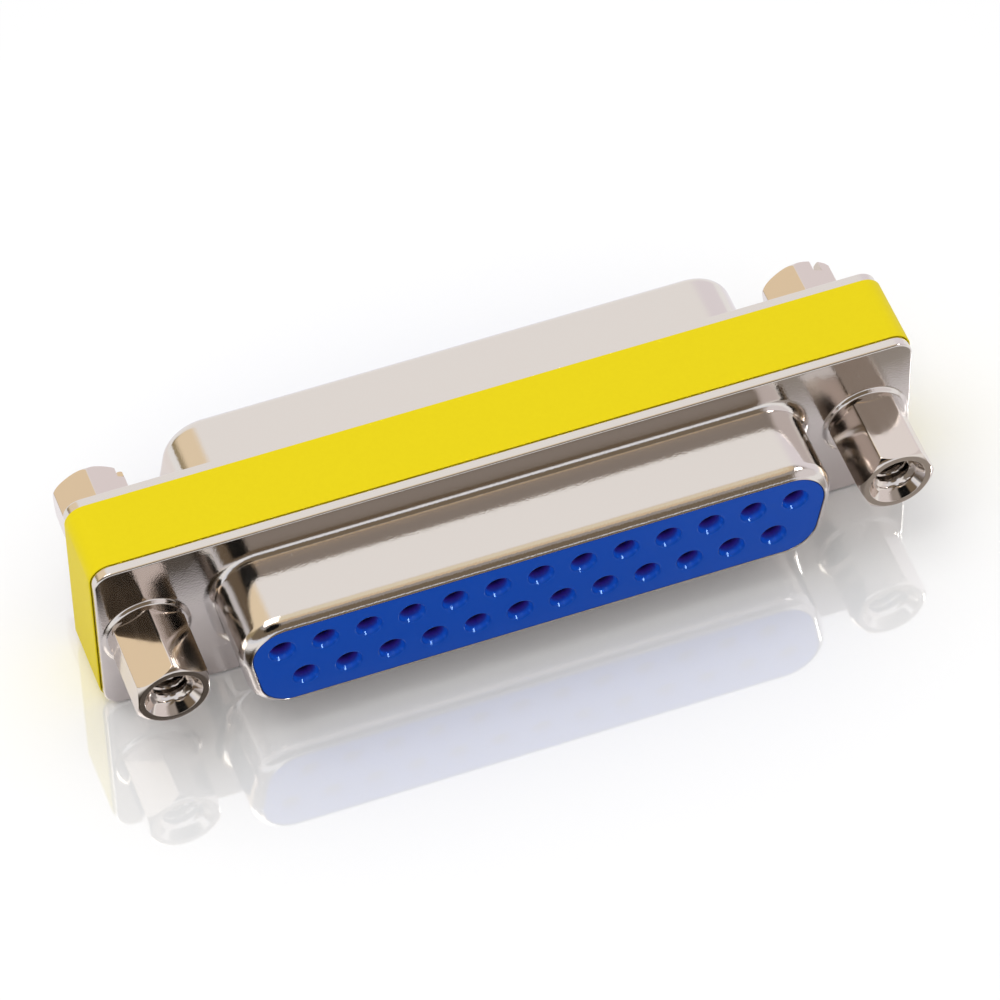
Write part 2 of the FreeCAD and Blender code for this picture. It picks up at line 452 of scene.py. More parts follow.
@dataclass(frozen=True)
class BrightNickel(Finish):
    """Bright nickel plate. It mirrors what is round it, a little warm, and the steel under it shows as
    a faint waviness, with a finer grain where the sheet was drawn or the bar was turned. The grain is
    drawn coarser than it is, so that it shows."""

    colour: str = "#DDD7D2"
    roughness: tuple[float, float] = (0.07, 0.13)
    grain_range: tuple[float, float] = (0.3, 0.7)
    wave_mm: float = 6.0
    wave_depth_mm: float = 0.003
    grain_mm: float = 0.12
    grain_depth_mm: float = 0.005
    stretch: tuple[float, float, float] = (1.0, 1.0, 1.0)

    def surface(self, tree: bpy.types.NodeTree, coordinates: Any) -> Any:
        """Metal whose bumps are a wave with the grain over it. The grain also sets the roughness.

        Args:
            tree: Where the nodes go.
            coordinates: Socket with the place on the object, in metres.

        Returns:
            The shader's socket.
        """
        stretched = add_node(tree, "ShaderNodeMapping", {"Vector": coordinates, "Scale": self.stretch})
        wave = add_node(tree, "ShaderNodeTexNoise",
                        {"Vector": coordinates, "Scale": per_metre(self.wave_mm), "Detail": 1.0})
        grain = add_node(tree, "ShaderNodeTexNoise",
                         {"Vector": stretched.outputs[0], "Scale": per_metre(self.grain_mm), "Detail": 2.0})
        bumps = add_node(tree, "ShaderNodeBump",
                         {"Height": wave.outputs[0], "Distance": self.wave_depth_mm * MM, "Strength": 1.0})
        fine = add_node(tree, "ShaderNodeBump",
                        {"Height": grain.outputs[0], "Distance": self.grain_depth_mm * MM, "Strength": 1.0,
                         "Normal": bumps.outputs[0]})
        roughness = add_node(tree, "ShaderNodeMapRange",
                             {"Value": grain.outputs[0], "From Min": self.grain_range[0],
                              "From Max": self.grain_range[1], "To Min": self.roughness[0],
                              "To Max": self.roughness[1]})
        return add_node(tree, "ShaderNodeBsdfPrincipled",
                        {"Base Color": linear(self.colour), "Metallic": 1.0,
                         "Roughness": roughness.outputs[0], "Normal": fine.outputs[0]}).outputs[0]


@dataclass(frozen=True)
class MouldedPolyester(Finish):
    """Glass-filled polyester, injection moulded. The face has a satin skin whose sheen is blue. The
    sockets are painted with light and shade by depth: a lighter blue just inside the mouth, painted to
    offset the shade there, then a violet and then a dark painted shade further in. Each of these
    colours comes in between two depths below the face, in millimetres. The skin's texture is drawn
    coarser than it is, so that it shows."""

    name: str = "moulded_blue_polyester"
    colour: str = "#0645AC"
    # Painted light and shade in the sockets, by depth below the face: a lighter blue painted near the mouth
    # to offset its shade, then a violet and then a dark painted shade.
    depths: tuple[tuple[float, float, str], ...] = (
        (0.05, 0.2, "#1656CC"),
        (0.3, 0.75, "#4A34B4"),
        (0.75, 1.15, "#0C062C"),
    )
    sheen_colour: str = "#A8D4FF"
    roughness: tuple[float, float] = (0.25, 0.1)
    polish_depths: tuple[float, float] = (0.02, 0.08)
    gloss: float = 0.4
    skin_mm: float = 0.25
    skin_depth_mm: float = 0.0008
    face_level_mm: float = 8.7

    def levels(self, start: float, stop: float) -> tuple[float, float]:
        """Two depths below the mating face as distances from the middle plane, in metres."""
        return (self.face_level_mm - start) * MM, (self.face_level_mm - stop) * MM

    def surface(self, tree: bpy.types.NodeTree, coordinates: Any) -> Any:
        """Plastic whose colour and roughness follow the depth below the mating face, read from Y.

        Args:
            tree: Where the nodes go.
            coordinates: Socket with the place on the object, in metres.

        Returns:
            The shader's socket.
        """
        along = add_node(tree, "ShaderNodeSeparateXYZ", {0: coordinates}).outputs["Y"]
        level = add_node(tree, "ShaderNodeMath", {0: along}, operation="ABSOLUTE").outputs[0]
        colour: Any = linear(self.colour)
        # Lay the sockets' painted light and shade over the face's colour, one depth band after another.
        for start, stop, painted_shading in self.depths:
            colour = lay_over(tree, colour, linear(painted_shading), level, self.levels(start, stop))
        start, stop = self.levels(*self.polish_depths)
        roughness = add_node(tree, "ShaderNodeMapRange",
                             {"Value": level, "From Min": start, "From Max": stop,
                              "To Min": self.roughness[0], "To Max": self.roughness[1]})
        skin = add_node(tree, "ShaderNodeTexNoise",
                        {"Vector": coordinates, "Scale": per_metre(self.skin_mm), "Detail": 2.0})
        bump = add_node(tree, "ShaderNodeBump",
                        {"Height": skin.outputs[0], "Distance": self.skin_depth_mm * MM, "Strength": 1.0})
        return add_node(tree, "ShaderNodeBsdfPrincipled",
                        {"Base Color": colour, "Roughness": roughness.outputs[0],
                         "Specular IOR Level": self.gloss, "Specular Tint": linear(self.sheen_colour),
                         "Normal": bump.outputs[0]}).outputs[0]


@dataclass(frozen=True)
class PrintedFilm(Finish):
    """Polyester film printed in one flat yellow. Its face is matt and even, with a very fine tooth,
    which is drawn coarser than it is so that it shows."""

    name: str = "printed_yellow_film"
    colour: str = "#E0CC08"
    worn_colour: str = "#DCC706"
    roughness: float = 0.5
    gloss: float = 0.12
    tooth_mm: float = 0.3
    tooth_depth_mm: float = 0.0008

    def surface(self, tree: bpy.types.NodeTree, coordinates: Any) -> Any:
        """Matt plastic with one noise for both its bump and its two near colours.

        Args:
            tree: Where the nodes go.
            coordinates: Socket with the place on the object, in metres.

        Returns:
            The shader's socket.
        """
        tooth = add_node(tree, "ShaderNodeTexNoise",
                         {"Vector": coordinates, "Scale": per_metre(self.tooth_mm), "Detail": 3.0})
        colour = add_node(tree, "ShaderNodeMix", {"Factor": tooth.outputs[0], "A": linear(self.colour),
                                                  "B": linear(self.worn_colour)}, data_type="RGBA")
        bump = add_node(tree, "ShaderNodeBump",
                        {"Height": tooth.outputs[0], "Distance": self.tooth_depth_mm * MM, "Strength": 1.0})
        return add_node(tree, "ShaderNodeBsdfPrincipled",
                        {"Base Color": colour.outputs["Result"], "Roughness": self.roughness,
                         "Specular IOR Level": self.gloss, "Normal": bump.outputs[0]}).outputs[0]


@dataclass(frozen=True)
class GoldFlash(Finish):
    """Thin gold over phosphor bronze. It is warm and slightly dull, mottled by the strip under it."""

    name: str = "gold_flash_on_bronze"
    colour: str = "#D9B36A"
    dull_colour: str = "#B98A48"
    roughness: float = 0.28
    mottle_mm: float = 0.8

    def surface(self, tree: bpy.types.NodeTree, coordinates: Any) -> Any:
        """Metal mottled between its two colours.

        Args:
            tree: Where the nodes go.
            coordinates: Socket with the place on the object, in metres.

        Returns:
            The shader's socket.
        """
        mottle = add_node(tree, "ShaderNodeTexNoise",
                          {"Vector": coordinates, "Scale": per_metre(self.mottle_mm), "Detail": 2.0})
        colour = add_node(tree, "ShaderNodeMix", {"Factor": mottle.outputs[0], "A": linear(self.colour),
                                                  "B": linear(self.dull_colour)}, data_type="RGBA")
        return add_node(tree, "ShaderNodeBsdfPrincipled",
                        {"Base Color": colour.outputs["Result"], "Metallic": 1.0,
                         "Roughness": self.roughness}).outputs[0]


@dataclass(frozen=True)
class GlossyFloor(Finish):
    """White gloss lacquer, level and polished, that turns to plain white away from the object. To
    mirror faces of the object its colour is painted darker in front, a painted shade that stands for a
    dark room over it, darker towards the left than the right."""

    name: str = "glossy_white_floor"
    colour: str = "#F7F7F7"
    roughness: float = 0.04
    ior: float = 2.7
    # Painted shade seen only in mirror faces: almost white near the object, dark further in front, darker to
    # the left than the right.
    near_shade: str = "#F0EEF4"
    left_shade: str = "#30281F"
    right_shade: str = "#98918A"
    shade_ends_m: tuple[float, float] = (-0.0085, -0.0125)
    shade_width_m: float = 0.02
    glow_ends_m: tuple[float, float] = (0.034, 0.058)

    def surface(self, tree: bpy.types.NodeTree, coordinates: Any) -> Any:
        """Gloss near the object, mixed into a plain white glow by the distance from the middle.

        Args:
            tree: Where the nodes go.
            coordinates: Socket with the place on the object, in metres.

        Returns:
            The shader's socket.
        """
        place = add_node(tree, "ShaderNodeSeparateXYZ", {0: coordinates})
        far = lay_over(tree, linear(self.left_shade), linear(self.right_shade), place.outputs["X"],
                       (0.0, self.shade_width_m))
        shade = lay_over(tree, linear(self.near_shade), far, place.outputs["Y"], self.shade_ends_m, EASED)
        # Only glossy rays see the painted shade; other rays see the floor's own white.
        mirrored = add_node(tree, "ShaderNodeLightPath").outputs["Is Glossy Ray"]
        colour = add_node(tree, "ShaderNodeMix",
                          {"Factor": mirrored, "A": linear(self.colour), "B": shade}, data_type="RGBA")
        sheen = add_node(tree, "ShaderNodeBsdfPrincipled",
                         {"Base Color": colour.outputs["Result"], "Roughness": self.roughness,
                          "IOR": self.ior})
        glow = add_node(tree, "ShaderNodeEmission", {"Color": WHITE, "Strength": 1.0})
        distance = add_node(tree, "ShaderNodeVectorMath", {0: coordinates}, operation="LENGTH")
        away = add_node(tree, "ShaderNodeMapRange",
                        {"Value": distance.outputs["Value"], "From Min": self.glow_ends_m[0],
                         "From Max": self.glow_ends_m[1]}, interpolation_type=EASED)
        return add_node(tree, "ShaderNodeMixShader", {0: away.outputs[0], 1: sheen.outputs[0],
                                                      2: glow.outputs[0]}).outputs[0]


def finish_piece(name: str, mesh: bpy.types.Mesh, material: bpy.types.Material, slot: Slot,
                 *nodes: str) -> Any:
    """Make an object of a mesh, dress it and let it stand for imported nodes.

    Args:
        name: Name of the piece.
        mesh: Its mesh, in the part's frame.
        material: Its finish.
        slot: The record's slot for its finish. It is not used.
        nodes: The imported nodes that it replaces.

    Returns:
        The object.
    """
    piece = bpy.data.objects.new(name, mesh)
    bpy.context.scene.collection.objects.link(piece)
    mesh.materials.append(material)
    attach(piece, "root")
    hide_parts(*nodes)
    return piece


def cut(mesh: bpy.types.Mesh, cutter: bpy.types.Mesh, sharp_degrees: float) -> bpy.types.Mesh:
    """Cut one closed mesh out of another, exactly.

    Args:
        mesh: The mesh that is cut.
        cutter: The mesh that is taken away. It is deleted.
        sharp_degrees: Edges that turn more than this stay sharp.

    Returns:
        The cut mesh.
    """
    body = bpy.data.objects.new("body", mesh)
    tool = bpy.data.objects.new("tool", cutter)
    for piece in (body, tool):
        bpy.context.scene.collection.objects.link(piece)
    boolean = body.modifiers.new("cut", "BOOLEAN")
    boolean.operation = "DIFFERENCE"
    boolean.solver = "EXACT"
    boolean.object = tool
    bpy.context.view_layer.update()
    result = bpy.data.meshes.new_from_object(body.evaluated_get(bpy.context.evaluated_depsgraph_get()))
    for piece in (body, tool):
        bpy.data.objects.remove(piece)
    bpy.data.meshes.remove(cutter)
    result.name = mesh.name
    result.shade_smooth()
    result.set_sharp_from_angle(angle=math.radians(sharp_degrees))
    return result


def boxes(centres: Array, sizes: Array, turn: float, place: Callable[[Array], Array]) -> bpy.types.Mesh:
    """Closed boxes in one mesh.

    Args:
        centres: Rows of x, y, z.
        sizes: Size of every box along its own x, y, z.
        turn: Turn of every box about Z, in radians.
        place: Turns the points into the part's frame, in metres.

    Returns:
        The mesh.
    """
    unit = np.array([[x, y, z] for z in (-0.5, 0.5) for y in (-0.5, 0.5) for x in (-0.5, 0.5)])
    turned = (unit * sizes) @ np.array(Matrix.Rotation(turn, 3, "Z")).T
    sides = np.array([[0, 2, 3, 1], [4, 5, 7, 6], [0, 1, 5, 4], [2, 6, 7, 3], [0, 4, 6, 2], [1, 3, 7, 5]])
    points = (centres[:, None] + turned[None]).reshape(-1, 3)
    faces = (np.arange(len(centres))[:, None, None] * len(unit) + sides[None]).reshape(-1, 4)
    mesh = bpy.data.meshes.new("cutter")
    mesh.from_pydata(place(points).tolist(), [], faces.tolist())
    work = bmesh.new()
    work.from_mesh(mesh)
    bmesh.ops.recalc_face_normals(work, faces=work.faces)
    work.to_mesh(mesh)
    work.free()
    return mesh


@dataclass
class PressedShell(HalfPiece):
    """One half's steel shell: flange with its turned-back skirt, jack seats and D-shaped shroud."""

    flange_width: float
    flange_height: float
    reach: float = 8.8
    shroud: DShape = field(default_factory=DShape)
    sheet: float = 0.4
    flange_face: float = 3.15
    flange_corner: float = 1.2
    bend_radius: float = 0.15
    skirt_end: float = 0.05
    lip_radius: float = 1.0
    rim_inset: float = 0.65
    rim_break: float = 0.05
    root_radius: float = 0.3
    root_sweep: float = 0.9
    crease_degrees: float = 40.0
    wall_flare: float = 0.04
    flare_height: float = 1.0
    jack_spacing: float = 47.04
    jack_hole_radius: float = 1.55
    seat_radius: float = 2.75
    seat_rise: float = 0.2
    seat_slope: float = 0.35
    arc_steps: int = 24
    long_steps: int = 40
    short_steps: int = 8
    bend_steps: int = 10
    corner_steps: int = 12
    end_steps: int = 16
    break_steps: int = 4
    break_clearance: float = 1.5
    flange_shares: tuple[float, ...] = (0.02, 0.35, 0.7, 1.0)
    seat_shares: tuple[float, ...] = (0.05, 0.5, 1.0)

    def bend_at(self, inset: float) -> float:
        """Radius of the flange's bend on one skin. The inner skin's is sharp."""
        return max(self.bend_radius - inset, 0.0)

    def flat_half(self, inset: float) -> tuple[float, float]:
        """Half sizes of the flat middle of the flange: up to its end patches, and up to its bends."""
        shroud_end = self.shroud.width / 2 + self.root_radius
        seat_start = self.jack_spacing / 2 - self.seat_radius - self.seat_slope / 2
        return (shroud_end + seat_start) / 2, self.flange_height / 2 - inset - self.bend_at(inset)

    def end_outline(self, inset: float) -> tuple[Array, Array]:
        """Edge of the flat part round the right end of the flange, from bottom to top.

        It is a straight run, an arc, the end, an arc and a straight run, with outward normals.

        Args:
            inset: How far the skin lies inside the outer one.

        Returns:
            Points and normals, as rows of x, y.
        """
        flat_x, flat_y = self.flat_half(inset)
        end_x = self.flange_width / 2 - inset - self.bend_at(inset)
        radius = self.flange_corner - inset - self.bend_at(inset)
        run = np.linspace(flat_x, end_x - radius, self.short_steps + 1)[:-1]
        turns = arc(-90, 0, self.corner_steps)
        arc_normals = np.column_stack([np.cos(turns), np.sin(turns)])
        low_run = np.column_stack([run, np.full(len(run), -flat_y)])
        lower = np.vstack([low_run, [end_x - radius, radius - flat_y] + arc_normals * radius])
        lower_normals = np.vstack([np.tile([0.0, -1.0], (len(run), 1)), arc_normals])
        rise = np.linspace(radius - flat_y, flat_y - radius, self.end_steps + 1)[1:-1]
        end = np.column_stack([np.full(len(rise), end_x), rise])
        flip = [1.0, -1.0]
        points = np.vstack([lower, end, lower[::-1] * flip])
        end_normals = np.tile([1.0, 0.0], (len(rise), 1))
        return points, np.vstack([lower_normals, end_normals, lower_normals[::-1] * flip])

    def profile(self, inset: float) -> list[tuple[float, float]]:
        """The shroud's profile on one skin: lip arc, wall with its flare, and root arc.

        The outer skin has the softened rim, and a root that ends in a crease on the wall.

        Args:
            inset: How far the skin lies inside the outer one.

        Returns:
            How far outwards and how high each point is, from the rim to the flange.
        """
        outer = inset == 0
        face = self.flange_face - inset
        lip_centre = self.reach - self.lip_radius
        lip = self.lip_radius - inset
        root = self.root_sweep if outer else self.root_radius + inset
        crease = self.crease_degrees if outer else 0.0
        root_centre = root * math.cos(math.radians(crease)) - inset
        root_top = face + root * (1 - math.sin(math.radians(crease)))
        start = math.degrees(math.asin((self.lip_radius - self.rim_inset) / lip))
        profile = [(-self.lip_radius + lip * math.sin(a), lip_centre + lip * math.cos(a))
                   for a in arc(start, 90, 2 * self.bend_steps)]
        if outer:
            profile = self.broken_edge(profile)
        profile.append((-inset, lip_centre - EDGE_HOLD_MM))
        for share in np.linspace(0, 1, self.bend_steps + 1):
            profile.append((-inset + self.wall_flare * share**2, root_top + self.flare_height * (1 - share)))
        profile += [(root_centre + self.wall_flare - root * math.cos(a), face + root - root * math.sin(a))
                    for a in arc(crease, 90, 2 * self.bend_steps)]
        return profile

    def skin(self, surface: Surface, inset: float) -> list[Array]:
        """Add one skin of the sheet, and return its open loops.

        The profile is carried round the D, and the flange is ruled from the root to a rectangle. The
        ends of the flange go from that rectangle to the edge of the flat part, round each jack.

        Args:
            surface: Where the skin goes.
            inset: How far the skin lies inside the outer one.

        Returns:
            Point numbers of the rim, the two jack holes and the skirt's edge.
        """
        outline = self.shroud.outline(self.arc_steps, self.long_steps, self.short_steps)
        face = self.flange_face - inset
        rows = [outline.level(out, height) for out, height in self.profile(inset)]
        rectangle = outline.onto_rectangle(*self.flat_half(inset))
        rows += spread(rows[-1][:, :2], rectangle, self.flange_shares, face)
        loops = [surface.grid(np.stack(rows), wrap_columns=True)[0]]
        edge = rows[-1][:, :2]
        marks = [corner[1] for corner in outline.corners]
        end_points, end_normals = self.end_outline(inset)
        band, normals = [], []
        # The right end with the top side, and then the left end with the underside. Corners are
        # numbered from the top right, anticlockwise.
        for sign, low, top, beyond in ((1, 3, 0, 1), (-1, 1, 2, 3)):
            last = marks[top] + (len(edge) if top < low else 0)
            shared = edge[np.arange(marks[low], last + 1) % len(edge)][::-1]
            loop = np.vstack([shared, sign * end_points[1:-1]])
            loops.append(self.seat_patch(surface, loop, sign * self.jack_spacing / 2, face))
            along = edge[marks[top]:marks[beyond]]
            band += [sign * end_points[:-1], along]
            normals += [sign * end_normals[:-1], np.tile([0.0, sign], (len(along), 1))]
        return [*loops, self.skirt(surface, np.vstack(band), np.vstack(normals), inset)]

    def skirt(self, surface: Surface, band: Array, normals: Array, inset: float) -> Array:
        """Add the bend and the skirt: a quarter arc and a line carried round the whole flange.

        Args:
            surface: Where they go.
            band: Edge of the flat part, rows of x, y.
            normals: Its outward normals.
            inset: How far the skin lies inside the outer one.

        Returns:
            Point numbers of the skirt's edge.
        """
        bend = self.bend_at(inset)
        level = self.flange_face - inset - bend
        turns = arc(90, 0, self.bend_steps) if bend else [0.0]
        steps = [(bend * math.cos(turn), level + bend * math.sin(turn)) for turn in turns]
        steps += [(bend, level - EDGE_HOLD_MM), (bend, self.skirt_end)]
        rows = [level_row(band + normals * out, height) for out, height in steps]
        return surface.grid(np.stack(rows), wrap_columns=True)[-1]

    def broken_edge(self, profile: list[tuple[float, float]]) -> list[tuple[float, float]]:
        """The lip's profile with the sheet's cut edge softened by a quarter turn.

        Args:
            profile: The lip's arc from its cut edge, as (outwards, level).

        Returns:
            The softened profile.
        """
        out, level = profile[0]
        soft = self.rim_break
        turn = [(out + soft * (1 - math.cos(a)), level - soft * (1 - math.sin(a)))
                for a in arc(0, 90, self.break_steps)]
        return turn + [point for point in profile if point[0] > out + self.break_clearance * soft]

    def seat_patch(self, surface: Surface, loop: Array, jack_x: float, face: float) -> Array:
        """Add the end of the flange round one jack hole, raised at the seat.

        Rings run out from the hole to the patch's edge, and a half cosine lowers them past the seat.

        Args:
            surface: Where the patch goes.
            loop: Closed edge of the patch, rows of x, y.
            jack_x: Place of the jack's axis along X.
            face: Height of the flange here.

        Returns:
            Point numbers round the hole.
        """
        away = loop - [jack_x, 0]
        directions = away / np.linalg.norm(away, axis=1, keepdims=True)
        step_start = self.seat_radius - self.seat_slope / 2
        hole = self.jack_hole_radius
        rings = [(radius, 1.0) for radius in (hole, (hole + step_start) / 2, step_start - EDGE_HOLD_MM)]
        rings += [(step_start + share * self.seat_slope, (1 + math.cos(math.pi * share)) / 2)
                  for share in np.linspace(0, 1, self.bend_steps + 1)]
        rows = [level_row([jack_x, 0] + directions * radius, face + self.seat_rise * rise)
                for radius, rise in rings]
        rows += spread(rows[-1][:, :2], loop, self.seat_shares, face)
        return surface.grid(np.stack(rows), wrap_columns=True)[0]

    def build(self, name: str, material: bpy.types.Material) -> Any:
        """Both skins, joined at the rim, the holes and the skirt's edge.

        Args:
            name: The node that the shell stands for.
            material: Its finish.

        Returns:
            The object.
        """
        surface = Surface()
        for first, second in zip(self.skin(surface, 0.0), self.skin(surface, self.sheet)):
            surface.bridge(first, second)
        mesh = surface.mesh(name, self.place, SHEET_SHARP_DEGREES)
        return finish_piece(f"pressed_{name}", mesh, material, Slot.SHELL, name)


@dataclass
class Sleeve(HalfPiece):
    """The yellow film round both skirts, butted on the underside."""

    flange_width: float
    flange_height: float
    half_width: float
    film: float = 0.1
    film_gap: float = 0.02
    flange_corner: float = 1.2
    butt_place: float = -12.0
    butt_gap: float = 0.2
    edge_radius: float = 0.04
    edge_steps: int = 4
    section_steps: tuple[int, int] = (2, 8)
    corner_steps: int = 16
    side_steps: tuple[int, int] = (40, 8)

    def section(self) -> Array:
        """Cross-section of the film: a flat strip with rounded edges, anticlockwise.

        Returns:
            Rows of (outwards, along Z).
        """
        low, high = self.film_gap, self.film_gap + self.film
        corners = np.array([[high, self.half_width], [low, self.half_width],
                            [low, -self.half_width], [high, -self.half_width]])
        sides = [even(steps) for steps in self.section_steps] * 2
        return rounded(corners, self.edge_radius, self.edge_steps, sides).points

    def path(self) -> tuple[Array, Array]:
        """Skirts' outline from one end of the film round to the other.

        Returns:
            Points and outward normals, rows of x, y.
        """
        half_x, half_y = self.flange_width / 2, self.flange_height / 2
        corners = np.array([[half_x, half_y], [-half_x, half_y], [-half_x, -half_y], [half_x, -half_y]])
        sides = [even(steps) for steps in self.side_steps] * 2
        outline = rounded(corners, self.flange_corner, self.corner_steps, sides)
        points, normals = outline.points, outline.normals
        ahead = self.butt_place + self.butt_gap / 2
        behind = self.butt_place - self.butt_gap / 2
        underside = (points[:, 1] < -half_y + EDGE_HOLD_MM / 10) & (np.abs(normals[:, 0]) < NEARLY)
        kept = ~(underside & (points[:, 0] > behind) & (points[:, 0] < ahead))
        first = int(np.argmax(underside & (points[:, 0] >= ahead) & kept))
        order = np.roll(np.arange(len(points)), -first)
        order = order[kept[order]]
        ends = np.array([[ahead, -half_y], [behind, -half_y]])
        down = np.array([[0.0, -1.0]])
        points = np.vstack([ends[:1], points[order], ends[1:]])
        normals = np.vstack([down, normals[order], down])
        return points, normals

    def build(self, name: str, material: bpy.types.Material) -> Any:
        """The section carried along the path, with its two ends closed.

        Args:
            name: The node that the sleeve stands for.
            material: Its finish.

        Returns:
            The object.
        """
        section = self.section()
        points, normals = self.path()
        flat = points[:, None, :] + normals[:, None, :] * section[None, :, :1]
        level = np.broadcast_to(section[None, :, 1:], (*flat.shape[:2], 1))
        surface = Surface()
        index = surface.grid(np.concatenate([flat, level], axis=2), wrap_columns=True)
        half = len(section) // 2
        for row in (index[0], index[-1]):
            surface.bridge(row[:half], row[half:][::-1], closed=False)
        mesh = surface.mesh(name, self.place, SHEET_SHARP_DEGREES)
        return finish_piece("film_sleeve", mesh, material, Slot.FILM, name)


def thread_radius(turn: Array, level: Array, crest: float) -> Array:
    """Radius of a 60 degree thread at a turn about its axis and a level along it.

    The profile is a triangle wave of the level, less one pitch for each turn, cut flat at the crest
    for an eighth of the pitch and at the root for a quarter.

    Args:
        turn: Angles in radians.
        level: Levels in millimetres.
        crest: The thread's largest radius.

    Returns:
        Radii in millimetres.
    """
    flank = 1 - THREAD_CREST_FLAT - THREAD_ROOT_FLAT
    depth = flank * math.sqrt(3) / 2 * THREAD_PITCH_MM
    phase = np.mod(level / THREAD_PITCH_MM - turn / (2 * math.pi), 1.0)
    wave = np.abs(2 * phase - 1)
    return crest - depth * np.clip((wave - THREAD_CREST_FLAT) / flank, 0, 1)


@dataclass
class Jack(HalfPiece):
    """Hexagonal jack turned from bar: flats, rounded tip, ring, countersink and thread."""

    reach: float
    across_flats: float = 4.5
    corner_round: float = 0.1
    seat: float = 3.35
    base_chamfer: float = 0.3
    base_step: float = 0.0001
    tip_round: float = 0.7
    tip_bulge: float = 0.15
    rim_radius: float = 2.22
    sink_radius: float = 1.85
    sink_depth: float = 0.6
    edge_round: float = 0.05
    thread_crest: float = 1.4225
    thread_play: float = 0.02
    thread_run_out: float = 2.0
    stud_chamfer: float = 0.45
    engaged_length: float = 1.5
    bore_depth: float = 3.6
    drill_degrees: float = 118.0
    slot_width: float = 0.6
    slot_depth: float = 0.8
    thread_steps: int = 14
    flat_steps: int = 24
    round_steps: int = 4
    tip_steps: int = 12
    tip_samples: int = 200
    flat_shares: tuple[float, ...] = (0.03, 0.2, 0.4, 0.6, 0.8, 0.97)
    sink_shares: tuple[float, ...] = (0.1, 0.28, 0.46, 0.64, 0.82, 1.0)

    def hexagon(self, turn: float) -> tuple[Array, Array]:
        """The hexagon's outline with softened corners.

        Args:
            turn: Turn of its first corner from X, in degrees.

        Returns:
            Angle and radius of each point.
        """
        corner_radius = self.across_flats / math.sqrt(3)
        turns = np.radians(turn + 60 * np.arange(6))
        corners = corner_radius * np.column_stack([np.cos(turns), np.sin(turns)])
        sides = [even(self.flat_steps)] * len(corners)
        points = rounded(corners, self.corner_round, self.round_steps, sides).points
        return np.unwrap(np.arctan2(points[:, 1], points[:, 0])), np.linalg.norm(points, axis=1)

    def tip(self) -> tuple[Array, Array, Array]:
        """The turned tip as a flat-topped arc through three points.

        Returns:
            Share, radius and level of fine steps from the shoulder to the rim.
        """
        start = np.array([self.across_flats / math.sqrt(3), self.reach - self.tip_round])
        end = np.array([self.rim_radius, self.reach])
        along = end - start
        outwards = np.array([along[1], -along[0]]) / np.linalg.norm(along)
        places = np.linspace(0, 1, self.tip_samples)
        share = places[:, None]
        line = start + along * share + outwards * self.tip_bulge * 4 * share * (1 - share)
        return places, line[:, 0], line[:, 1]

    def outside(self, turns: Array, radii: Array) -> list[Array]:
        """Rows from the seat up the flats and over the tip to the rim.

        The flats end where the turned tip is as wide as the hexagon at that angle.

        Args:
            turns: Angle of each column.
            radii: The hexagon's radius at each angle.

        Returns:
            Rows of x, y, z.
        """
        places, tip_radius, tip_level = self.tip()
        share = np.interp(-radii, -tip_radius, places)
        top = np.interp(share, places, tip_level)
        base_radius = np.minimum(radii, self.across_flats / math.sqrt(3) - self.base_chamfer)
        base = self.seat + (radii - base_radius)
        rows = [self.row(turns, base_radius, self.seat), self.row(turns, radii, base + self.base_step)]
        rows += [self.row(turns, radii, base + (top - base) * part) for part in self.flat_shares]
        rows.append(self.row(turns, radii, top - EDGE_HOLD_MM))
        for part in np.linspace(0, 1, self.tip_steps + 1):
            now = share + (1 - share) * part
            radius, level = np.interp(now, places, tip_radius), np.interp(now, places, tip_level)
            rows.append(self.row(turns, radius, level))
        return rows

    @staticmethod
    def row(turns: Array, radius: Array | float, level: Array | float) -> Array:
        """One row of points at angles, radii and levels."""
        radius = np.broadcast_to(radius, turns.shape)
        level = np.broadcast_to(level, turns.shape)
        return np.column_stack([radius * np.cos(turns), radius * np.sin(turns), level])

    def mouth(self, turns: Array) -> list[Array]:
        """Rows over the ring, round its inner edge and down the polished countersink.

        Args:
            turns: Angle of each column.

        Returns:
            Rows of x, y, z.
        """
        width = self.sink_radius - self.thread_crest
        slope = math.atan2(self.sink_depth, width)
        lip = self.sink_radius + self.edge_round * math.tan(slope / 2)
        rows = [self.row(turns, self.rim_radius - EDGE_HOLD_MM, self.reach)]
        for angle in np.linspace(0, slope, self.round_steps + 1):
            level = self.reach - self.edge_round * (1 - math.cos(angle))
            rows.append(self.row(turns, lip - self.edge_round * math.sin(angle), level))
        for share in self.sink_shares:
            level = self.reach - self.sink_depth * share
            rows.append(self.row(turns, self.sink_radius - width * share, level))
        return rows

    def inner_thread(self, turns: Array, bottom: float) -> list[Array]:
        """Rows down a tapped bore, whose first turn runs out into the countersink.

        Args:
            turns: Angle of each column.
            bottom: Level of the bore's end.

        Returns:
            Rows of x, y, z.
        """
        top = self.reach - self.sink_depth
        levels = np.linspace(top, bottom, int((top - bottom) / THREAD_PITCH_MM * self.thread_steps))
        rows = []
        for level in levels:
            radius = thread_radius(turns, np.full(turns.shape, level), self.thread_crest)
            run_out = self.thread_crest - (top - level) * self.thread_run_out
            rows.append(self.row(turns, np.maximum(radius, run_out), level))
        return rows

    def nut(self, turn: float, jack_x: float) -> Surface:
        """Front jack, tapped right through. Its last row closes on its first.

        Args:
            turn: Turn of the hexagon, in degrees.
            jack_x: Place of the jack's axis along X.

        Returns:
            The closed surface.
        """
        turns, radii = self.hexagon(turn)
        rows = self.outside(turns, radii) + self.mouth(turns) + self.inner_thread(turns, self.seat)
        surface = Surface()
        surface.grid(np.stack(rows) + [jack_x, 0, 0], wrap_columns=True, wrap_rows=True)
        return surface

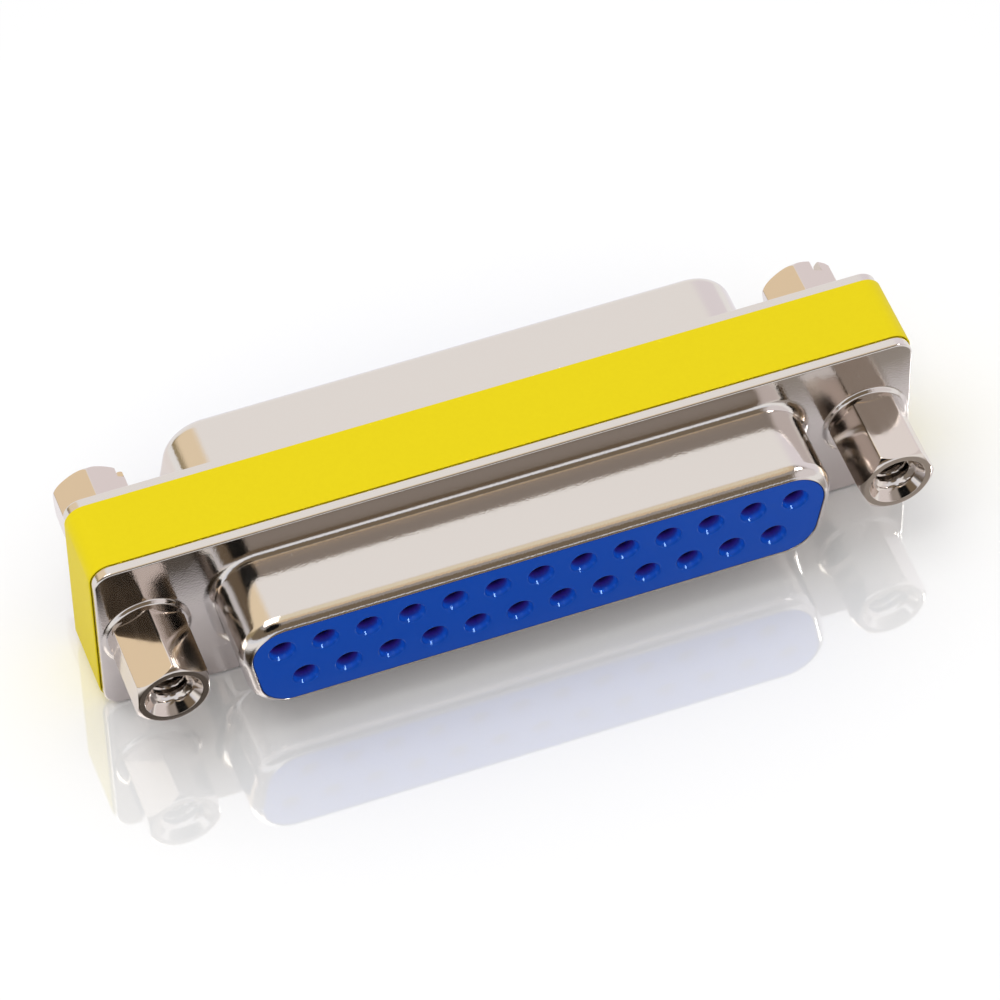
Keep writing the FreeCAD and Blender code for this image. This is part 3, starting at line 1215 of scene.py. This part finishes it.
    def screw(self, turn: float, jack_x: float) -> Surface:
        """Rear jack with a blind tapped bore and a threaded stud.

        Args:
            turn: Turn of the hexagon, in degrees.
            jack_x: Place of the jack's axis along X.

        Returns:
            The closed surface.
        """
        turns, radii = self.hexagon(turn)
        floor = self.reach - self.bore_depth
        cone = self.thread_crest / math.tan(math.radians(self.drill_degrees / 2))
        bore = self.inner_thread(turns, floor) + [self.row(turns, 0.0, floor - cone)]
        stud_end = -self.seat - self.engaged_length + self.thread_play
        crest = self.thread_crest - self.thread_play
        steps = int((self.seat - stud_end) / THREAD_PITCH_MM * self.thread_steps)
        stud = [self.row(turns, 0.0, stud_end)]
        for level in np.linspace(stud_end, self.seat, steps):
            radius = thread_radius(turns, np.full(turns.shape, level), crest)
            point = crest - self.stud_chamfer + (level - stud_end)
            stud.append(self.row(turns, np.minimum(radius, point), level))
        rows = stud + self.outside(turns, radii) + self.mouth(turns) + bore
        surface = Surface()
        surface.grid(np.stack(rows) + [jack_x, 0, 0], wrap_columns=True)
        return surface

    def slot_cutter(self, turn: float, jack_x: float) -> bpy.types.Mesh:
        """The driver slot across the tip, as a box that stands above it.

        Args:
            turn: Turn of the slot, in degrees.
            jack_x: Place of the jack's axis along X.

        Returns:
            The box.
        """
        centre = np.array([[jack_x, 0, self.reach]])
        size = np.array([2 * self.across_flats, self.slot_width, 2 * self.slot_depth])
        return boxes(centre, size, math.radians(turn), self.place)


@dataclass
class JackPair:
    """The two jacks of one side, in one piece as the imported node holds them."""

    jack: Jack
    spacing: float
    hex_turns: tuple[float, float]
    slot_turns: tuple[float, float] | None

    def build(self, name: str, material: bpy.types.Material) -> Any:
        """Both jacks, the rear ones with their driver slots.

        Args:
            name: The node that the pair stands for.
            material: Its finish.

        Returns:
            The object.
        """
        meshes = []
        solid = self.jack.screw if self.slot_turns else self.jack.nut
        for number, sign in enumerate((-1, 1)):
            jack_x = sign * self.spacing / 2
            mesh = solid(self.hex_turns[number], jack_x).mesh(name, self.jack.place, TURNED_SHARP_DEGREES)
            if self.slot_turns:
                slot = self.jack.slot_cutter(self.slot_turns[number], jack_x)
                mesh = cut(mesh, slot, TURNED_SHARP_DEGREES)
            meshes.append(mesh)
        work = bmesh.new()
        for mesh in meshes:
            work.from_mesh(mesh)
        joined = bpy.data.meshes.new(name)
        work.to_mesh(joined)
        work.free()
        for mesh in meshes:
            bpy.data.meshes.remove(mesh)
        return finish_piece(f"turned_{name}", joined, material, Slot.JACK, name)


@dataclass
class Insulator(HalfPiece):
    """Moulded block with 25 sockets: a face of round cells, a nose in the shroud and a flange."""

    face: float = 8.7
    shroud: DShape = field(default_factory=DShape)
    face_inset: float = 0.7
    face_round: float = 0.04
    nose_inset: float = 0.45
    nose_bend: float = 7.8
    nose_radius: float = 0.55
    flange_top: float = 2.7
    flange_half_x: float = 20.4
    flange_half_y: float = 5.525
    pitch: float = 2.77
    row_spacing: float = 2.84
    wide_count: int = 13
    mouth_radius: float = 0.88
    mouth_depth: float = 0.4
    mouth_round: float = 0.08
    throat_radius: float = 0.68
    throat_depth: float = 1.1
    cavity_radius: float = 0.95
    slot_width: float = 0.7
    slot_height: float = 3.29
    slot_depth: float = 2.2
    slot_overlap: float = 0.173125
    cell_steps: int = 16
    upright_steps: int = 14
    corner_steps: int = 16
    round_steps: int = 4
    nose_steps: int = 5
    cone_shares: tuple[float, ...] = (0.2, 0.6, 0.95)
    cell_shares: tuple[float, ...] = (0.04, 0.5, 1.0)
    back_ring: tuple[float, float] = (0.975, 0.9)
    back_line: tuple[float, float] = (0.75, 0.0)

    def sockets(self, row: int) -> Array:
        """Places along X of the sockets of one row, 1 for the wide row and -1 for the narrow one."""
        count = self.wide_count if row > 0 else self.wide_count - 1
        return (np.arange(count) - (count - 1) / 2) * self.pitch

    def face_outline(self) -> Outline:
        """The face's edge, with a point at each cell's corner and where the two rows meet.

        Returns:
            The outline.
        """
        corners = self.shroud.corners(self.face_inset)
        radius = self.shroud.corner - self.face_inset
        plain = rounded(corners, radius, self.corner_steps, [even(2)] * 4)
        step = self.pitch / self.cell_steps
        sides = []
        for number in range(4):
            start = plain.points[plain.corners[number][2]]
            end = plain.points[plain.corners[(number + 1) % 4][0]]
            if number in (0, 2):
                reach = min(abs(start[0]), abs(end[0]))
                inside = int(reach / step)
                xs = np.arange(-inside, inside + 1) * step
                xs = xs[::-1] if end[0] < start[0] else xs
                sides.append((xs - start[0]) / (end[0] - start[0]))
            else:
                level = -start[1] / (end[1] - start[1])
                sides.append(np.sort(np.append(even(self.upright_steps // 2), level)))
        return rounded(corners, radius, self.corner_steps, sides)

    def funnel(self) -> tuple[Array, Array]:
        """Profile of one socket from the face inwards.

        A quarter of a soft edge leads into a straight cone, then the throat, the wider room for the
        barrel and its floor.

        Returns:
            Radii and levels.
        """
        slope = math.atan2(self.mouth_depth, self.mouth_radius - self.throat_radius)
        radii, levels = [], []
        for angle in np.linspace(0, slope, self.round_steps + 1):
            radii.append(self.mouth_radius + self.mouth_round * (math.tan(slope / 2) - math.sin(angle)))
            levels.append(self.face - self.mouth_round * (1 - math.cos(angle)))
        cone_end = self.face - self.mouth_depth
        for share in self.cone_shares:
            radii.append(self.mouth_radius - (self.mouth_radius - self.throat_radius) * share)
            levels.append(self.face - self.mouth_depth * share)
        throat_end = self.face - self.throat_depth
        radii += [self.throat_radius] * 3 + [self.cavity_radius] * 2 + [0.0]
        levels += [cone_end - EDGE_HOLD_MM, (cone_end + throat_end) / 2, throat_end]
        levels += [throat_end, self.slot_depth, self.slot_depth]
        return np.array(radii), np.array(levels)

    def cell(self, surface: Surface, centre: Array, edge: Array) -> None:
        """One socket in its piece of the face.

        Rings run out from the floor of the socket to the mouth, and then spread to the cell's edge.

        Args:
            surface: Where the cell goes.
            centre: The socket's axis, x and y.
            edge: Closed edge of the cell, rows of x, y.
        """
        away = edge - centre
        directions = away / np.linalg.norm(away, axis=1, keepdims=True)
        radii, levels = self.funnel()
        rows = [level_row(centre + directions * radius, level)
                for radius, level in zip(radii[::-1], levels[::-1])]
        rows += spread(rows[-1][:, :2], edge, self.cell_shares, self.face)
        surface.grid(np.stack(rows), wrap_columns=True)

    def build(self, name: str, material: bpy.types.Material) -> Any:
        """The whole block, with the slots for the contacts' webs cut into its back.

        Args:
            name: The node that the insulator stands for.
            material: Its finish.

        Returns:
            The object.
        """
        outline = self.face_outline()
        surface = Surface()
        for row in (1, -1):
            centres = self.sockets(row)
            for number, x in enumerate(centres):
                inner_sides = (number > 0, number < len(centres) - 1)
                edge = self.cell_edge(outline.points, row, x, inner_sides)
                self.cell(surface, np.array([x, row * self.row_spacing / 2]), edge)
        self.sides(surface, outline)
        mesh = surface.mesh(name, self.place, SHEET_SHARP_DEGREES)
        xs = np.concatenate([self.sockets(1), self.sockets(-1)])
        slots = np.column_stack([xs, np.zeros(len(xs)), np.zeros(len(xs))])
        size = np.array([self.slot_width, self.slot_height, 2 * self.slot_depth + self.slot_overlap])
        mesh = cut(mesh, boxes(slots, size, 0.0, self.place), SHEET_SHARP_DEGREES)
        return finish_piece(f"moulded_{name}", mesh, material, Slot.PLASTIC, name)

    def cell_edge(self, edge: Array, row: int, x: float, inner_sides: tuple[bool, bool]) -> Array:
        """Closed edge of one cell, anticlockwise.

        It is a run of the line between the rows, an upright, a run of the face's edge and another
        upright. An end cell has no outer upright, and takes the face's edge down to that line.

        Args:
            edge: The face's edge.
            row: 1 above the middle line, -1 below it.
            x: Place of the socket along X.
            inner_sides: Whether another cell stands to the left, and to the right.

        Returns:
            Rows of x, y, without a repeated end.
        """
        ends = edge[np.abs(edge[:, 1]) < NEARLY, 0]
        left, right = inner_sides
        low = x - self.pitch / 2 if left else ends.min()
        high = x + self.pitch / 2 if right else ends.max()
        step = self.pitch / self.cell_steps
        grid = np.arange(math.ceil(low / step - NEARLY), math.floor(high / step + NEARLY) + 1) * step
        middle = np.unique(np.round([low, *grid, high], SHARED_DECIMALS))
        mine = edge[:, 1] * row > NEARLY
        rise = np.linspace(0, self.shroud.height / 2 - self.face_inset, self.upright_steps + 1)[1:-1] * row
        right_upright, left_upright = [], []
        if right:
            mine &= edge[:, 0] < high + NEARLY
            right_upright = [np.column_stack([np.full(len(rise), high), rise])]
        if left:
            mine &= edge[:, 0] > low - NEARLY
            left_upright = [np.column_stack([np.full(len(rise), low), rise[::-1]])]
        outer = edge[mine]
        turns = np.arctan2(outer[:, 1] * row, outer[:, 0] - (low + high) / 2)
        bottom = np.column_stack([middle, np.zeros(len(middle))])
        loop = np.vstack([bottom, *right_upright, outer[np.argsort(turns)], *left_upright])
        return loop if row > 0 else loop[::-1]

    def sides(self, surface: Surface, outline: Outline) -> None:
        """The edge of the face, the nose down to the flange, the flange and the closed back.

        Rows are the outline moved outwards, then the flange's rectangle at two levels, and on the back
        a smaller rectangle and its middle line.

        Args:
            surface: Where they go.
            outline: The face's edge.
        """
        out = self.face_inset - self.nose_inset
        rows = [outline.level(0.0, self.face)]
        for angle in arc(0, 90, self.round_steps - 1)[1:]:
            rows.append(outline.level(0.0, self.face - self.face_round * math.sin(angle)))
        start = math.degrees(math.asin(1 - out / self.nose_radius))
        for angle in arc(start, 90, self.nose_steps):
            level = self.nose_bend + self.nose_radius * math.cos(angle)
            rows.append(outline.level(out - self.nose_radius * (1 - math.sin(angle)), level))
        rows.append(outline.level(out, self.flange_top))
        rectangle = outline.onto_rectangle(self.flange_half_x, self.flange_half_y)
        rows += [level_row(rectangle, level) for level in (self.flange_top, 0.0)]
        rows += [level_row(rectangle * shares, 0.0) for shares in (self.back_ring, self.back_line)]
        surface.grid(np.stack(rows), wrap_columns=True)


@dataclass(frozen=True)
class Patch:
    """A soft-edged round patch of the surroundings, seen in one direction from the object."""

    towards: tuple[float, float, float]
    inner_degrees: float
    outer_degrees: float
    colour: str
    strength: float = 1.0


@dataclass(frozen=True)
class Band:
    """A height in the surroundings, from 0 at the horizon to 1 overhead, where a colour comes in."""

    start: float
    stop: float
    colour: str


@dataclass(frozen=True)
class Studio:
    """Floor, lamp and surroundings: a white tent behind, and a room with a dark camera in front."""

    floor_half_m: float = 1.2
    daylight: str = "#F5F5F5"
    tent: str = "#FFFDFC"
    tent_ends: tuple[float, float] = (0.4, 0.1)
    horizon: str = "#F2F6FF"
    bands: tuple[Band, ...] = (
        Band(0.12, 0.24, "#7C6E5C"),
        Band(0.64, 0.74, "#A69F9A"),
        Band(0.84, 0.90, "#E2CBAB"),
        Band(0.93, 0.98, "#F3E8CF"),
    )
    patches: tuple[Patch, ...] = (
        Patch((-0.85, 0.45, 0.25), 18, 35, "#A89878"),
        Patch((-0.60, 0.57, 0.57), 14, 30, "#FAE6C6"),
        Patch((0.85, 0.45, 0.25), 25, 45, "#F6F0F6"),
        Patch((0.78, -0.58, 0.26), 20, 36, "#EDE7E9"),
        Patch((0.62, -0.20, 0.76), 5.0, 7.0, "#FFFFFF", 26.0),
        Patch((-0.30, -0.62, 0.73), 14, 22, "#080808"),
    )
    lamp_place_m: tuple[float, float, float] = (-0.20, 0.05, 0.6)
    lamp_size_m: float = 0.4
    lamp_watts: float = 1.1

    def floor(self) -> None:
        """A level square of glossy white under the object."""
        mesh = bpy.data.meshes.new("floor")
        half = self.floor_half_m
        corners = [(-half, -half, 0), (half, -half, 0), (half, half, 0), (-half, half, 0)]
        mesh.from_pydata(corners, [], [(0, 1, 2, 3)])
        mesh.materials.append(GlossyFloor().material())
        floor = bpy.data.objects.new("floor", mesh)
        bpy.context.scene.collection.objects.link(floor)

    def world(self) -> None:
        """White to the camera, even daylight to matt faces, and a studio to mirror faces.

        In the studio, the half behind the object is a white tent. The half before it changes colour
        with height, one band after the other. Each patch is laid over both where the direction's
        angle to the patch's middle is small.
        """
        world = bpy.data.worlds.new("studio")
        bpy.context.scene.world = world
        world.use_nodes = True
        tree = world.node_tree
        tree.nodes.clear()
        direction = add_node(tree, "ShaderNodeTexCoord").outputs["Generated"]
        parts = add_node(tree, "ShaderNodeSeparateXYZ", {0: direction})
        colour: Any = linear(self.horizon)
        for band in self.bands:
            ends = band.start, band.stop
            colour = lay_over(tree, colour, linear(band.colour), parts.outputs["Z"], ends, EASED)
        colour = lay_over(tree, linear(self.tent), colour, parts.outputs["Y"], self.tent_ends, EASED)
        for patch in self.patches:
            middle = Vector(patch.towards).normalized()
            closeness = add_node(tree, "ShaderNodeVectorMath", {0: direction, 1: middle},
                                 operation="DOT_PRODUCT").outputs["Value"]
            shade = [channel * patch.strength for channel in linear(patch.colour)[:3]] + [1.0]
            ends = [math.cos(math.radians(angle)) for angle in (patch.outer_degrees, patch.inner_degrees)]
            colour = lay_over(tree, colour, shade, closeness, ends, EASED)
        rays = add_node(tree, "ShaderNodeLightPath").outputs
        lit = add_node(tree, "ShaderNodeMix",
                       {"Factor": rays["Is Glossy Ray"], "A": linear(self.daylight), "B": colour},
                       data_type="RGBA")
        seen = add_node(tree, "ShaderNodeMix",
                        {"Factor": rays["Is Camera Ray"], "A": lit.outputs["Result"], "B": WHITE},
                        data_type="RGBA")
        background = add_node(tree, "ShaderNodeBackground",
                              {"Color": seen.outputs["Result"], "Strength": 1.0})
        add_node(tree, "ShaderNodeOutputWorld", {"Surface": background.outputs[0]})

    def lamp(self) -> None:
        """A soft square lamp over the object, aimed at it."""
        data = bpy.data.lights.new("top_lamp", "AREA")
        data.shape = "SQUARE"
        data.size = self.lamp_size_m
        data.energy = self.lamp_watts
        lamp = bpy.data.objects.new("top_lamp", data)
        lamp.location = self.lamp_place_m
        lamp.rotation_euler = (-Vector(self.lamp_place_m)).to_track_quat("-Z", "Y").to_euler()
        bpy.context.scene.collection.objects.link(lamp)

    def build(self) -> None:
        """Set up the whole studio."""
        self.floor()
        self.world()
        self.lamp()
        bpy.context.scene.view_settings.view_transform = "Standard"


@dataclass(frozen=True)
class Viewpoint:
    """The photograph's camera, found from the places of the sockets and the jacks in it."""

    azimuth_degrees: float = -18.92
    elevation_degrees: float = 50.92
    roll_degrees: float = -1.43
    distance_mm: float = 400.0
    focal_pixels: float = 6475.2
    centre_x_pixels: float = -7.37
    centre_y_pixels: float = -13.68
    frame_pixels: float = 1000.0
    sensor_mm: float = 36.0
    clip_m: tuple[float, float] = (0.01, 10.0)

    def build(self, middle: float) -> None:
        """Put the camera on its circle round the connector's centre.

        Args:
            middle: Height of the connector's axis above the floor, in millimetres.
        """
        azimuth, elevation = math.radians(self.azimuth_degrees), math.radians(self.elevation_degrees)
        level = math.cos(elevation)
        back = Vector((math.sin(azimuth) * level, -math.cos(azimuth) * level, math.sin(elevation)))
        right = Vector((math.cos(azimuth), math.sin(azimuth), 0))
        up = back.cross(right)
        data = bpy.data.cameras.new("camera")
        data.sensor_width = self.sensor_mm
        data.lens = self.focal_pixels / self.frame_pixels * self.sensor_mm
        data.shift_x = -self.centre_x_pixels / self.frame_pixels
        data.shift_y = self.centre_y_pixels / self.frame_pixels
        data.clip_start, data.clip_end = self.clip_m
        camera = bpy.data.objects.new("camera", data)
        roll = Matrix.Rotation(math.radians(self.roll_degrees), 3, "Z")
        turn = Matrix((right, up, back)).transposed() @ roll
        place = Vector((0, 0, middle * MM)) + back * self.distance_mm * MM
        camera.matrix_world = Matrix.Translation(place) @ turn.to_4x4()
        bpy.context.scene.collection.objects.link(camera)
        bpy.context.scene.camera = camera


def main() -> None:
    """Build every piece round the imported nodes, and report each."""
    logging.basicConfig(level=logging.INFO, format="%(name)s: %(message)s")
    shell_low, shell_high = node_size_mm("front_shell")
    jack_low, _ = node_size_mm("front_jack_nuts")
    sleeve_low, sleeve_high = node_size_mm("yellow_sleeve")
    middle = float(shell_low[2] + shell_high[2]) / 2
    flange = float(shell_high[0] - shell_low[0]), float(shell_high[2] - shell_low[2])
    pressed = BrightNickel("bright_nickel_on_pressed_steel").material()
    turned = BrightNickel("bright_nickel_on_turned_bar", colour="#DDD4CC", grain_mm=0.5,
                          grain_depth_mm=0.0001, stretch=(1.0, 0.08, 1.0)).material()
    blue = MouldedPolyester().material()
    yellow = PrintedFilm().material()
    gold = GoldFlash().material()

    front, rear = [PressedShell(side, middle, *flange) for side in Side]
    sleeve = Sleeve(Side.FRONT, middle, *flange, float(sleeve_high[1] - sleeve_low[1]) / 2)
    nuts, screws = [JackPair(Jack(side, middle, -float(jack_low[1])), front.jack_spacing,
                             HEX_TURNS[side], SLOT_TURNS[side]) for side in Side]
    front_block, rear_block = [Insulator(side, middle) for side in Side]
    for part, name, material in (
            (front, "front_shell", pressed), (rear, "rear_shell", pressed),
            (sleeve, "yellow_sleeve", yellow),
            (nuts, "front_jack_nuts", turned), (screws, "rear_jack_screws", turned),
            (front_block, "front_insulator", blue), (rear_block, "rear_insulator", blue)):
        piece = part.build(name, material)
        log.info("%s: %d faces", name, len(piece.data.polygons))
    for name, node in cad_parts.items():
        if name.startswith("contact_"):
            node.data.materials.clear()
            node.data.materials.append(gold)
    log.info("contacts dressed")
    Studio().build()
    Viewpoint().build(middle)


if __name__ == "__main__":
    main()
